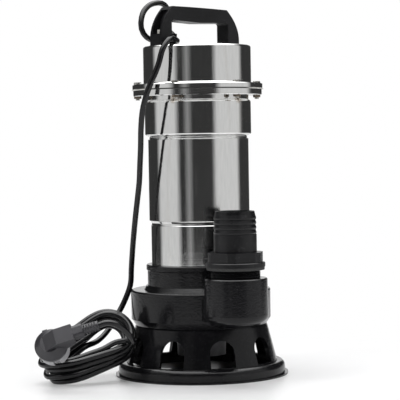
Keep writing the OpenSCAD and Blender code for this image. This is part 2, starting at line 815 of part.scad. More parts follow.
module lower_bracket() {
    hub = bearing_r + bearing_wall;
    color([0.35, 0.36, 0.38]) turned([
        [shaft_mid_r + 2, z_bracket], [bracket_r, z_bracket],
        [bracket_r, z_bracket + 2.5], [bracket_r - 2 * o_ring_r, z_bracket + 2.5],
        [bracket_r - 2 * o_ring_r, z_bracket + 2.7 + 2 * o_ring_r],
        [bracket_r, z_bracket + 2.7 + 2 * o_ring_r], [bracket_r, z_barrel],
        [hub, z_barrel], [hub, z_bearing + bearing_w], [bearing_r, z_bearing + bearing_w],
        [bearing_r, z_bearing], [shaft_mid_r + 2, z_bearing]
    ]);
}

module barrel_o_ring() {
    color([0.1, 0.1, 0.1]) translate([0, 0, z_bracket + 2.6 + o_ring_r])
        rotate_extrude($fn = ring_fn) translate([bracket_r - o_ring_r + 0.05, 0]) circle(r = o_ring_r, $fn = 24);
}

// ---------- Shaft, rotor and stator ----------

module shaft() {
    color("lightgray") difference() {
        turned([
            [0, z_shaft], [shaft_low_r - 1, z_shaft], [shaft_low_r, z_shaft + 1],
            [shaft_low_r, z_impeller_back + impeller_back_t],
            [shaft_mid_r, z_impeller_back + impeller_back_t], [shaft_mid_r, z_shoulder - 1.5],
            [shaft_mid_r + 1.5, z_shoulder - 1.5], [shaft_mid_r + 1.5, z_bearing],
            [bearing_bore_r, z_bearing], [bearing_bore_r, z_bearing + bearing_w],
            [shaft_mid_r + 1.5, z_bearing + bearing_w], [shaft_mid_r + 1.5, z_upper_bearing],
            [bearing_bore_r, z_upper_bearing], [bearing_bore_r, z_shaft_top - 0.5],
            [bearing_bore_r - 0.5, z_shaft_top], [0, z_shaft_top]
        ], 72);
        translate([shaft_low_r - key_out, -key_w / 2, z_impeller + 4]) cube([2 * key_out, key_w, key_h]);
    }
}

module rotor_core() {
    color([0.6, 0.6, 0.62]) difference() {
        union() {
            translate([0, 0, z_core - rotor_over]) cylinder(r = rotor_r, h = core_h + 2 * rotor_over, $fn = 96);
            for (z = [z_core - rotor_over - 8, z_core_top + rotor_over - 1])
                ring_of(8, 0, rotor_r - 6) translate([-4, -1, z]) cube([8, 2, 9]);
        }
        translate([0, 0, z_core - rotor_over - 10])
            cylinder(r = shaft_mid_r + 1.5, h = core_h + 2 * rotor_over + 20, $fn = 72);
    }
}

module stator_core() {
    bore = rotor_r + air_gap;
    color([0.45, 0.46, 0.5]) difference() {
        translate([0, 0, z_core]) tube(core_r, bore, core_h, $fn = 96);
        for (i = [0 : slot_count - 1])
            rotate([0, 0, i * 360 / slot_count])
                translate([bore + tooth_lip, -slot_w / 2, z_core - 1]) cube([slot_depth, slot_w, core_h + 2]);
    }
}

// Copper bundles lie in the slots and turn over in a thick ring at each end
module stator_windings() {
    color([0.72, 0.35, 0.15]) {
        for (i = [0 : slot_count - 1])
            rotate([0, 0, i * 360 / slot_count])
                translate([rotor_r + air_gap + tooth_lip + 0.3, -slot_w / 2 + 0.2, z_core - 1])
                    cube([slot_depth - 0.6, slot_w - 0.4, core_h + 2]);
        for (z = [z_windings, z_core_top])
            turned(concat(
                arc([winding_out_r - 5, z + winding_h - 5], 5, 4.8, 0, 90, 4),
                arc([winding_in_r + 5, z + winding_h - 5], 5, 4.8, 90, 180, 4),
                arc([winding_in_r + 5, z + 5], 5, 4.8, 180, 270, 4),
                arc([winding_out_r - 5, z + 5], 5, 4.8, 270, 360, 4)
            ), 72);
    }
}

// ---------- Motor barrel ----------

// Outline of the barrel's outside, or of its inside when inset is the sheet's thickness
function barrel_line(inset) = concat(
    [[barrel_low_r - inset, z_barrel], [barrel_low_r - inset, z_mid - groove_h]],
    arc([barrel_low_r - inset, z_mid - groove_h / 2], groove_depth, groove_h / 2 - 0.6, 270, 180, 4),
    [[barrel_mid_r - 0.8 - inset, z_mid - 0.6], [barrel_mid_r - inset, z_mid],
     [barrel_mid_r - inset, z_top - groove_h - 0.6]],
    arc([barrel_mid_r - inset, z_top - groove_h / 2], 2 * groove_depth, groove_h / 2 - 0.6, 270, 180, 4),
    [[barrel_top_r - 2.2 - inset, z_top - 1]],
    arc([barrel_top_r - 2.2 - inset, z_top + 1.2], 2.2, 2.2, -70, 0, 4),
    arc([barrel_top_r - barrel_shoulder - inset, z_barrel_neck - barrel_shoulder],
        barrel_shoulder, barrel_shoulder, 0, 74, 6),
    [[barrel_neck_r - inset, z_barrel_neck + 0.4], [barrel_neck_r - inset, z_bracket_plate]]
);

function reversed(list) = [for (i = [len(list) - 1 : -1 : 0]) list[i]];

module motor_barrel() {
    color([0.75, 0.75, 0.76]) turned(concat(barrel_line(0), reversed(barrel_line(barrel_t))));
}

// ---------- Upper bracket ----------

module upper_bracket() {
    hub = bearing_r + bearing_wall;
    color([0.35, 0.36, 0.38]) difference() {
        turned([
            [0, z_gasket], [0, z_bracket_plate - 7.4], [bearing_r - 2, z_bracket_plate - 7.4],
            [bearing_r - 2, z_upper_bearing + bearing_w], [bearing_r, z_upper_bearing + bearing_w],
            [bearing_r, z_upper_bearing], [hub, z_upper_bearing], [hub, z_bracket_plate - 4],
            [upper_rim_r - 6, z_bracket_plate - 4], [upper_rim_r - 6, z_bracket_plate - 8],
            [upper_rim_r, z_bracket_plate - 8], [upper_rim_r, z_bracket_plate],
            [upper_plate_r, z_bracket_plate], [upper_plate_r, z_gasket]
        ]);
        ring_of(4, 0, 42) translate([0, 0, z_bracket_plate - 10]) cylinder(r = 6, h = 30, $fn = 32);
    }
}

// ---------- Flange ----------

module barrel_flange() {
    color([0.72, 0.72, 0.73]) difference() {
        turned([
            [barrel_neck_r + 0.1, z_flange], [flange_low_r - 0.8, z_flange], [flange_low_r, z_flange + 0.8],
            [flange_low_r, z_gasket], [upper_plate_r + fit, z_gasket],
            [upper_plate_r + fit, z_bracket_plate], [barrel_neck_r + 0.1, z_bracket_plate]
        ]);
        ring_of(flange_bolt_count, flange_first, flange_bolt_pcr) translate([0, 0, z_flange - 1])
            cylinder(r = m6_r - 0.4, h = flange_low_t + 2, $fn = 24);
    }
}

module flange_gasket() {
    color([0.22, 0.22, 0.21]) difference() {
        translate([0, 0, z_gasket]) tube(gasket_r, gasket_in_r, gasket_t, $fn = ring_fn);
        ring_of(flange_bolt_count, flange_first, flange_bolt_pcr) translate([0, 0, z_gasket - 1])
            cylinder(r = m6_r - 0.4, h = gasket_t + 2, $fn = 24);
    }
}

module flange_bolts() {
    color("silver") ring_of(flange_bolt_count, flange_first, flange_bolt_pcr) translate([0, 0, z_can])
        hex_screw(m6_r - 0.5, z_can - z_flange + nut_h + 2, bolt_flats, bolt_head_h);
}

module flange_nuts() {
    color([0.5, 0.45, 0.4]) ring_of(flange_bolt_count, flange_first, flange_bolt_pcr)
        translate([0, 0, z_flange - nut_h]) difference() {
            hexagon(bolt_flats, nut_h);
            translate([0, 0, -1]) cylinder(r = m6_r - 0.4, h = nut_h + 2, $fn = 24);
        }
}

// ---------- Top can and what it covers ----------

module top_cap() {
    color([0.78, 0.78, 0.79]) difference() {
        turned(concat(
            [[can_r - can_t, z_can_flange], [flange_top_r - 0.8, z_can_flange],
             [flange_top_r, z_can_flange + 0.8], [flange_top_r, z_can - 0.8], [flange_top_r - 0.8, z_can]],
            arc([can_r + can_fillet, z_can + can_fillet], can_fillet, can_fillet, 270, 180, 5),
            arc([can_r - can_corner, z_can_top - can_corner], can_corner, can_corner, 0, 90, 5),
            [[0, z_can_top], [0, z_can_top - can_t]],
            arc([can_r - can_corner, z_can_top - can_corner], can_corner - can_t, can_corner - can_t, 90, 0, 5)
        ));
        ring_of(flange_bolt_count, flange_first, flange_bolt_pcr) translate([0, 0, z_can_flange - 1])
            cylinder(r = m6_r - 0.4, h = flange_top_t + 2, $fn = 24);
        translate([gland_at[0], gland_at[1], z_can_top - 5]) cylinder(r = gland_stem_r + 0.1, h = 10, $fn = 32);
        at_handle_screws() translate([0, 0, z_can_top - 5]) cylinder(r = m5_r + 0.1, h = 10, $fn = 24);
    }
}

module on_plate() {
    translate([0, 0, z_gasket]) children();
}

module capacitor() {
    color([0.2, 0.35, 0.6]) on_plate() translate(capacitor_at) {
        cylinder(r = capacitor_r, h = capacitor_h - 2);
        translate([0, 0, capacitor_h - 2.01]) cylinder(r1 = capacitor_r, r2 = capacitor_r - 2, h = 2);
        for (x = [-6, 6]) translate([x - 0.5, -3, capacitor_h - 1]) cube([1, 6, 7]);
    }
}

module capacitor_clip() {
    color("silver") on_plate() translate(capacitor_at) difference() {
        union() {
            translate([0, 0, clip_h]) cylinder(r = capacitor_r + 0.1 + clip_t, h = clip_h);
            translate([capacitor_r - 2, -5, 0]) cube([8, 10, clip_h + 0.1]);
        }
        translate([0, 0, -1]) cylinder(r = capacitor_r + 0.1, h = 2 * clip_h + 2);
    }
}

module terminal_block() {
    color([0.85, 0.85, 0.8]) on_plate() translate(terminal_at) difference() {
        cube(terminal_size);
        for (i = [0 : 3]) translate([(i + 0.5) * terminal_pitch, terminal_size[1] / 2, terminal_size[2] - 6])
            cylinder(r = m5_r, h = 7, $fn = 24);
        for (i = [0 : 3]) translate([(i + 0.5) * terminal_pitch, -1, 4]) rotate([-90, 0, 0])
            cylinder(r = m4_r, h = terminal_size[1] + 2, $fn = 24);
    }
}

module thermal_protector() {
    color([0.1, 0.1, 0.12]) on_plate() translate(protector_at) {
        cylinder(r = protector_r, h = protector_h);
        for (x = [-5, 5]) translate([x - 0.5, -2.5, protector_h - 1]) cube([1, 5, 7]);
    }
}

// ---------- Cable gland ----------

module at_gland(z) {
    translate([gland_at[0], gland_at[1], z]) children();
}

module gland_body() {
    color([0.08, 0.08, 0.08]) at_gland(z_can_top) difference() {
        union() {
            hexagon(gland_flats, gland_base_h);
            cylinder(r = gland_stem_r, h = gland_base_h + gland_stem_h);
            translate([0, 0, -9]) cylinder(r = gland_stem_r, h = 9.01);
        }
        translate([0, 0, -10]) cylinder(r = gland_wire_r, h = 30);
        translate([0, 0, gland_seat_h]) cylinder(r = cord_r + 0.1, h = 30);
        translate([0, 0, gland_base_h + 2]) cylinder(r = gland_stem_r - 1.5, h = 30);
    }
}

module gland_seal() {
    color([0.2, 0.2, 0.2]) at_gland(z_can_top + gland_base_h + 2)
        tube(gland_stem_r - 1.6, cord_r + 0.1, gland_stem_h - 1.9);
}

module gland_nut() {
    color([0.08, 0.08, 0.08]) at_gland(z_can_top + gland_base_h + gland_nut_gap) difference() {
        union() {
            hexagon(gland_nut_flats, gland_nut_h - 4);
            translate([0, 0, gland_nut_h - 4.01]) cylinder(r1 = gland_nut_flats / 2, r2 = cord_r + 2.5, h = 4);
        }
        translate([0, 0, -1]) cylinder(r = cord_r + 0.2, h = gland_nut_h + 2);
        translate([0, 0, -1]) cylinder(r = gland_stem_r + 0.1, h = gland_stem_h - gland_nut_gap + 1.5);
    }
}

// ---------- Handle ----------

module at_handle() {
    translate([handle_at[0], handle_at[1], z_can_top]) rotate([0, 0, handle_turn]) children();
}

module at_handle_screws() {
    translate([handle_at[0], handle_at[1], 0]) rotate([0, 0, handle_turn])
        for (s = [-1, 1]) translate([s * handle_screw_at, 0, 0]) children();
}

// The grip slopes down a little from the left end to the right end
function sloped(p) = [p[0], p[1] - handle_drop * (p[0] / handle_l + 0.5) * p[1] / handle_h];

// Right half of the handle's outline: the end leans in towards the grip's top
function handle_outer_half() = concat(
    [[handle_l / 2, 0]],
    [for (t = [0.16 : 0.08 : 0.97])
        [handle_l / 2 - handle_lean * pow((t - 0.15) / 0.85, 2.1), handle_h * t]],
    [[handle_l / 2 - handle_lean, handle_h], [handle_l / 6, handle_h + 0.3], [0, handle_h + 0.4]]
);

function handle_inner_half() =
    let (x = handle_l / 2 - handle_leg_t, z = handle_h - handle_grip_t + handle_sag - handle_bore_round)
    concat(
        [[x, 0]],
        arc([x - handle_bore_round, z], handle_bore_round, handle_bore_round, 0, 85, 5),
        [[x / 2, handle_h - handle_grip_t + handle_sag / 2], [0, handle_h - handle_grip_t]]
    );

function mirrored(list) = [for (i = [len(list) - 1 : -1 : 0]) [-list[i][0], list[i][1]]];

function whole(half) = [for (p = concat(half, mirrored(half))) sloped(p)];

// Side view of the open channel in the end on side s, above the foot block
function channel_line(s) = concat(
    [[s * handle_l, handle_block_h], [s * (handle_l / 2 - channel_depth), handle_block_h]],
    [for (p = [
        [handle_l / 2 - channel_depth, handle_h - handle_grip_t],
        [handle_l / 2 - channel_top_depth, handle_h - channel_top],
        [handle_l, handle_h - channel_top]]) let (q = sloped([s * min(p[0], handle_l / 2), p[1]]))
            [s * p[0], q[1]]]
);

module handle() {
    color([0.05, 0.05, 0.055]) difference() {
        at_handle() difference() {
            rotate([90, 0, 0]) linear_extrude(handle_w, center = true) difference() {
                polygon(whole(handle_outer_half()));
                polygon(whole(handle_inner_half()));
            }
            for (s = [-1, 1])
                rotate([90, 0, 0]) linear_extrude(handle_w - 2 * channel_wall, center = true)
                    polygon(channel_line(s));
        }
        at_handle_screws() translate([0, 0, z_can_top - 1])
            cylinder(r = m5_r + 0.1, h = handle_block_h + 3, $fn = 24);
    }
}

module handle_screws() {
    color("silver") at_handle_screws() translate([0, 0, z_can_top + handle_block_h])
        hex_screw(m5_r, handle_block_h + 8, screw_flats, screw_head_h);
}

// ---------- Cord ----------

function unit(v) = v / norm(v);

function hank_point(i) =
    let (
        m = i % hank_loop_rings,
        turns = (i - 1.5) / hank_loop_rings,
        out = turns < 0 ? 0
            : hank_step * (hank_per_layer - abs(turns % (2 * hank_per_layer) - hank_per_layer)),
        lift = hank_step * ([for (j = [1 : hank_layers - 1])
            max(0, min(1, (turns - hank_per_layer * j) * 2 + 0.5))] * [for (j = [1 : hank_layers - 1]) 1]
            - (hank_layers - 1) / 2),
        r = hank_fold_r + out,
        a = m < 12 ? 90 + (m - 3) * 20 : -90 + (m - 15) * 20,
        p = m < 3 ? hank_run / 2 - m / 3 * hank_run
            : m < 12 ? -hank_run / 2 + r * cos(a)
            : m < 15 ? -hank_run / 2 + (m - 12) / 3 * hank_run
            : hank_run / 2 + r * cos(a),
        q = m < 3 ? r : m < 12 ? r * sin(a) : m < 15 ? -r : r * sin(a),
        span = hank_run / 2 + hank_fold_r + hank_per_layer * hank_step,
        phi = hank_twist[0] + (hank_twist[1] - hank_twist[0]) * (p / span + 1) / 2,
        along = [cos(hank_rise) * cos(hank_turn), cos(hank_rise) * sin(hank_turn), sin(hank_rise)],
        side = [-sin(hank_turn), cos(hank_turn), 0],
        up = cross(along, side),
        wide = side * cos(phi) + up * sin(phi),
        deep = up * cos(phi) - side * sin(phi)
    )
    hank_at + p * along + q * wide + lift * deep;

hank_path = [for (i = [hank_first : hank_last]) hank_point(i)];

// The upper part of the route follows the top can
function lifted(p) = p + [0, 0, (z_can_top - cord_top_ref) * max(0, min(1, (p[2] - 130) / 270))];

run_path = concat(
    [[gland_at[0], gland_at[1], z_can_top + gland_seat_h]],
    [for (p = cord_route) lifted(p)],
    [hank_point(hank_first) + 10 * unit(hank_point(hank_first - 1) - hank_point(hank_first)),
     hank_point(hank_first)]
);

tail_path = concat(
    [hank_point(hank_last),
     hank_point(hank_last) + 8 * unit(hank_point(hank_last) - hank_point(hank_last - 1))],
    tail_route,
    [for (l = [plug_l + 8, plug_l]) plug_at + l * plug_dir + plug_axis_h * plug_up]
);

// A round cord through the ring centres of a path
module cord_tube(path, sides) {
    n = len(path);
    dir = [for (i = [0 : n - 1]) unit(path[min(i + 1, n - 1)] - path[max(i - 1, 0)])];
    across = [for (i = 0, v = unit(cross(dir[0], [0.3, 1, 0.2])); i < n;
        i = i + 1, v = i < n ? unit(v - (v * dir[i]) * dir[i]) : v) v];
    points = [for (i = [0 : n - 1]) for (k = [0 : sides - 1]) let (t = 360 * k / sides)
        path[i] + cord_r * (cos(t) * across[i] + sin(t) * cross(dir[i], across[i]))];
    faces = concat(
        [for (i = [0 : n - 2]) for (k = [0 : sides - 1])
            let (a = i * sides + k, b = i * sides + (k + 1) % sides) each
                [[a, b + sides, b], [a, a + sides, b + sides]]],
        [for (k = [1 : sides - 2]) [0, k, k + 1]],
        [for (k = [1 : sides - 2]) let (e = (n - 1) * sides) [e, e + k + 1, e + k]]
    );
    polyhedron(points, faces);
}

// Distance from point p to the straight stretch between a and b
function off_stretch(p, a, b) =
    norm(p - a - max(0, min(1, (p - a) * (b - a) / ((b - a) * (b - a)))) * (b - a));

// Least clear gap between stretches of a path that lie at least a few rings apart
function least_gap(path, apart) = min([
    for (i = [0 : len(path) - 2]) for (j = [i + apart : 1 : len(path) - 2])
        for (t = [0, 0.5])
            off_stretch(path[i] * (1 - t) + path[i + 1] * t, path[j], path[j + 1])
]) - 2 * cord_r;

module cord_run() {
    color([0.04, 0.04, 0.045]) cord_tube(run_path, cord_sides);
}

module cord_hank() {
    echo(hank_least_gap = least_gap(hank_path, 6));
    color([0.04, 0.04, 0.045]) cord_tube(hank_path, hank_sides);
}

module cord_tail() {
    color([0.04, 0.04, 0.045]) cord_tube(tail_path, cord_sides);
}

// ---------- Plug ----------

module at_plug() {
    translate(plug_at) rotate(plug_rot) children();
}

// A bar along the cord's axis with rounded long edges
module plug_bar(x0, x1, w, r) {
    translate([x0, 0, plug_axis_h]) rotate([90, 0, 90]) linear_extrude(x1 - x0) {
        square([w - 2 * r, w], center = true);
        square([w, w - 2 * r], center = true);
        for (y = [-1, 1], z = [-1, 1])
            translate([y * (w / 2 - r), z * (w / 2 - r)]) circle(r = r, $fn = 24);
    }
}

// A round cover that backs the pins, with a wedge over it that the fingers hold, and the cord's neck
module plug_body() {
    color([0.13, 0.13, 0.15]) at_plug() {
        turned([
            [0, plug_rim_top - plug_rim_h], [plug_head_r, plug_rim_top - plug_rim_h],
            [plug_head_r, plug_rim_top - 0.8], [plug_head_r - 0.8, plug_rim_top],
            [plug_cone_r, plug_rim_top + plug_cone_h], [0, plug_rim_top + plug_cone_h]
        ], 72);
        rotate([90, 0, 0]) linear_extrude(plug_grip_w, center = true) polygon([
            [3 - plug_head_r, plug_rim_top], [plug_grip_crest - 1.5, plug_grip_h - 1.2],
            [plug_grip_crest + 0.5, plug_grip_h], [plug_grip_end - 1, plug_grip_h],
            [plug_grip_end, plug_grip_h - 1], [plug_grip_end, plug_axis_h - plug_neck_w / 2 + 0.5],
            [plug_head_r - 0.5, 0]
        ]);
        plug_bar(plug_grip_end - 1, plug_neck_end, plug_neck_w, 4);
        // Key beside the pins
        translate([-6, plug_head_r - 1.5, plug_rim_top - plug_rim_h]) cube([6, 2.5, plug_rim_h - 1]);
    }
}

module plug_strain_relief() {
    relief = plug_l - plug_neck_end;
    color([0.1, 0.1, 0.11]) at_plug() translate([plug_neck_end, 0, plug_axis_h]) rotate([0, 90, 0])
        difference() {
            turned([[0, 0], [relief_r, 0], [relief_r - 0.6, relief - 0.8],
                [relief_r - 1.2, relief], [0, relief]], 40);
            for (turn = [0 : 90 : 270], i = [0 : relief_slots - 1])
                rotate([0, 0, turn])
                    translate([relief_r - relief_slot_depth, -relief_slot_w / 2, relief_pitch * (i + 0.4)])
                        cube([relief_slot_depth + 1, relief_slot_w, relief_pitch / 2]);
        }
}

module plug_face() {
    color([0.62, 0.62, 0.62]) at_plug()
        translate([0, 0, plug_rim_top - plug_rim_h - plug_face_h]) difference() {
            cylinder(r = plug_head_r - 1.2, h = plug_face_h);
            for (y = [-1, 1])
                translate([-4, y * (plug_head_r - 2.7) - 2, -1]) cube([8, 4, plug_face_h - 1]);
            for (x = [-1, 1])
                translate([x * pin_pitch / 2, 0, -1]) cylinder(r = pin_r, h = 6, $fn = 32);
        }
}

module plug_pins() {
    color("silver") at_plug() translate([0, 0, plug_rim_top - plug_rim_h - plug_face_h])
        for (x = [-1, 1]) translate([x * pin_pitch / 2, 0, 5]) mirror([0, 0, 1]) {
            cylinder(r = pin_r, h = pin_l + 3.6, $fn = 32);
            translate([0, 0, pin_l + 3.6]) cylinder(r1 = pin_r, r2 = 1, h = 1.4, $fn = 32);
        }
}

strainer_base();
base_plate();
base_screws();
casing_screws();
suction_cover();
cutter_ring();
cutter_blade();
cutter_nut();
spacer_sleeve();
impeller();
impeller_key();
volute_casing();
volute_bolts();
translate(outlet) hose_tail();
translate(outlet) hose_tail_washer();
oil_chamber();
oil_plug();
seal_seat();
seal_face();
seal_bellows();
lower_bracket();
barrel_o_ring();
lower_bearing_outer();
lower_bearing_balls();
lower_bearing_inner();
shaft();
rotor_core();
stator_core();
stator_windings();
upper_bearing_outer();
upper_bearing_balls();
upper_bearing_inner();
motor_barrel();
upper_bracket();
barrel_flange();
flange_gasket();
flange_bolts();
flange_nuts();
top_cap();
capacitor();
capacitor_clip();
terminal_block();
thermal_protector();
gland_body();
gland_seal();
gland_nut();
handle();
handle_screws();
cord_run();
cord_hank();
cord_tail();
plug_body();
plug_strain_relief();
plug_face();
plug_pins();
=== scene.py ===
# Submersible sump pump: a black cast pump end, a stainless motor barrel and can, a moulded handle,
# a barbed hose tail, and the mains cord in a hank beside it. Everything is in metres.

import math
import bpy
from mathutils import Vector, Matrix


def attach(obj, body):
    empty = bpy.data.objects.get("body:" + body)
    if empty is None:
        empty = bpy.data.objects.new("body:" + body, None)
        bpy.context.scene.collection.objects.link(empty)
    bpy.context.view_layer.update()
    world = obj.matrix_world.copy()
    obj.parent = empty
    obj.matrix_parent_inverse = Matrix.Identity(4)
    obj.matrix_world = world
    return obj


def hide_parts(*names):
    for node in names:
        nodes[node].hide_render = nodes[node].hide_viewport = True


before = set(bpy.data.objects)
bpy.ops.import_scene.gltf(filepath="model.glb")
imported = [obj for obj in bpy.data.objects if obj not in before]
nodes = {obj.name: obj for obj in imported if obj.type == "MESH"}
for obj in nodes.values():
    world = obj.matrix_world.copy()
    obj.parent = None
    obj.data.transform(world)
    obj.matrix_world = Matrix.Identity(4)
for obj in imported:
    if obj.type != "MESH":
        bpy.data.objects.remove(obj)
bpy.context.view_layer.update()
scene = bpy.context.scene
scene.view_settings.view_transform = "Standard"


# ---------- Camera ----------
# A long lens stands two metres in front of the pump, a little above its middle, and looks
# slightly down. The camera is rolled by about one degree.

picture_px = 400
focal_px = 1720
look_down = math.atan(63 / focal_px)
camera_roll = math.radians(0.94)
forward = Vector((0, math.cos(look_down), -math.sin(look_down)))
level = Vector((1, 0, 0))
above = Vector((0, math.sin(look_down), math.cos(look_down)))
camera_right = level * math.cos(camera_roll) - above * math.sin(camera_roll)
camera_up = level * math.sin(camera_roll) + above * math.cos(camera_roll)

lens = bpy.data.cameras.new("camera")
lens.sensor_width = 36
lens.lens = 36 * focal_px / picture_px
lens.clip_start = 0.05
camera = bpy.data.objects.new("camera", lens)
turn = Matrix((camera_right, camera_up, -forward)).transposed()
camera.matrix_world = Matrix.Translation((0.00093, -2.120, 0.292)) @ turn.to_4x4()
scene.collection.objects.link(camera)
scene.camera = camera


# ---------- Mains cord ----------
# A 7 mm rubber lead of about 2.9 m. It leaves the gland upwards, loops outside the handle's leg,
# passes in front of the can and hangs down to a hank of loops on the ground, which ends at the plug.

cord_r = 0.0035

# Centres of the free cord from the gland to the hank, in millimetres
run_mm = [
    (-36, 33, 406.7), (-36, 33, 429), (-34.2, 30.4, 446.6), (-38.9, 23.3, 456.4),
    (-56.4, 6.6, 455.8), (-65.4, -4, 444.6), (-65.1, -10.7, 420), (-60.4, -9.5, 414.5),
    (-44.5, -4.4, 409.8), (-36.5, -6, 408.5), (-24, -24, 409), (-24.5, -35.5, 409.5),
    (-33, -57.5, 409), (-39, -63.5, 401), (-46.5, -67, 377.5), (-60, -66, 346),
    (-66, -60.5, 324.5), (-68.5, -53, 303), (-69.5, -45.5, 281.5), (-71, -39, 259.5),
    (-72.5, -32, 238), (-75.5, -24.5, 216), (-78.5, -17, 194.5), (-83.5, -0.5, 152),
    (-85.5, 8, 131), (-87.5, 16.5, 109.5), (-95.5, 16, 88.5), (-106, 8.5, 69.5),
    (-116.5, -4.5, 54), (-127.5, -22.5, 44.5), (-143.2, -40.6, 38.8),
]

# Centres of the cord between the hank and the plug's strain relief, in millimetres
tail_mm = [
    (-102.5, -74.5, 48.5), (-86.5, -80, 51.5), (-79, -109, 52.5), (-81.5, -119.5, 58.5),
    (-86.8, -129, 66.5), (-93.5, -135.8, 74), (-101.8, -139.8, 78.6), (-110.7, -140.8, 79.2),
    (-118.3, -140.9, 76.9),
]

# The hank is a flat spiral of loops, in layers that twist from one end to the other
hank_at = Vector((-136, -61, 39.5))
hank_turn = math.radians(23)
hank_rise = math.radians(26)
hank_run = 54
fold_r = 18
turn_step = 8
layers = 4
turns_per_layer = 2
rings_per_turn = 24
twist = (math.radians(2), math.radians(58))
hank_first = 2
hank_last = 182
along = Vector((math.cos(hank_rise) * math.cos(hank_turn),
                math.cos(hank_rise) * math.sin(hank_turn), math.sin(hank_rise)))
side = Vector((-math.sin(hank_turn), math.cos(hank_turn), 0))
upward = along.cross(side)


def hank_point(i):
    m = i % rings_per_turn
    turns = (i - 1.5) / rings_per_turn
    into_layer = math.fmod(turns, 2 * turns_per_layer) - turns_per_layer
    outward = turn_step * (turns_per_layer - abs(into_layer))
    steps = sum(max(0, min(1, (turns - turns_per_layer * j) * 2 + 0.5)) for j in range(1, layers))
    lift = turn_step * (steps - (layers - 1) / 2)
    r = fold_r + outward
    a = math.radians(90 + (m - 3) * 20 if m < 12 else -90 + (m - 15) * 20)
    if m < 3:
        p, q = hank_run / 2 - m / 3 * hank_run, r
    elif m < 12:
        p, q = -hank_run / 2 + r * math.cos(a), r * math.sin(a)
    elif m < 15:
        p, q = -hank_run / 2 + (m - 12) / 3 * hank_run, -r
    else:
        p, q = hank_run / 2 + r * math.cos(a), r * math.sin(a)
    half_length = hank_run / 2 + fold_r + turns_per_layer * turn_step
    phi = twist[0] + (twist[1] - twist[0]) * (p / half_length + 1) / 2
    wide = side * math.cos(phi) + upward * math.sin(phi)
    deep = upward * math.cos(phi) - side * math.sin(phi)
    return hank_at + p * along + q * wide + lift * deep


cord_mm = [Vector(p) for p in run_mm] + [hank_point(i) for i in range(hank_first, hank_last + 1)]
cord_mm += [Vector(p) for p in tail_mm]


def smooth_cord(name, points, first_way, last_way, thickness):
    """A round cord on one smooth spline through the points, with its ends' directions given."""
    line = bpy.data.curves.new(name, "CURVE")
    line.dimensions = "3D"
    line.resolution_u = 4
    line.bevel_depth = 1.0
    line.bevel_resolution = 4
    line.use_fill_caps = True
    spline = line.splines.new("BEZIER")
    spline.bezier_points.add(len(points) - 1)
    gaps = [(b - a).length for a, b in zip(points, points[1:])]
    for i, (knot, point) in enumerate(zip(spline.bezier_points, points)):
        if i == 0:
            way, before, after = first_way, gaps[0], gaps[0]
        elif i == len(points) - 1:
            way, before, after = last_way, gaps[-1], gaps[-1]
        else:
            before, after = gaps[i - 1], gaps[i]
            way = (after * (point - points[i - 1]) / before
                   + before * (points[i + 1] - point) / after) / (before + after)
        knot.handle_left_type = knot.handle_right_type = "FREE"
        knot.co = point
        knot.radius = thickness
        knot.handle_left = point - way * before / 3
        knot.handle_right = point + way * after / 3
    piece = bpy.data.objects.new(name, line)
    scene.collection.objects.link(piece)
    return piece


plug_way = Vector((-0.9553, -0.0033, -0.2957))
mains_cord = smooth_cord("mains_cord", [p / 1000 for p in cord_mm], Vector((0, 0, 1)), plug_way, cord_r)
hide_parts("cord_run", "cord_hank", "cord_tail")
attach(mains_cord, "pump")


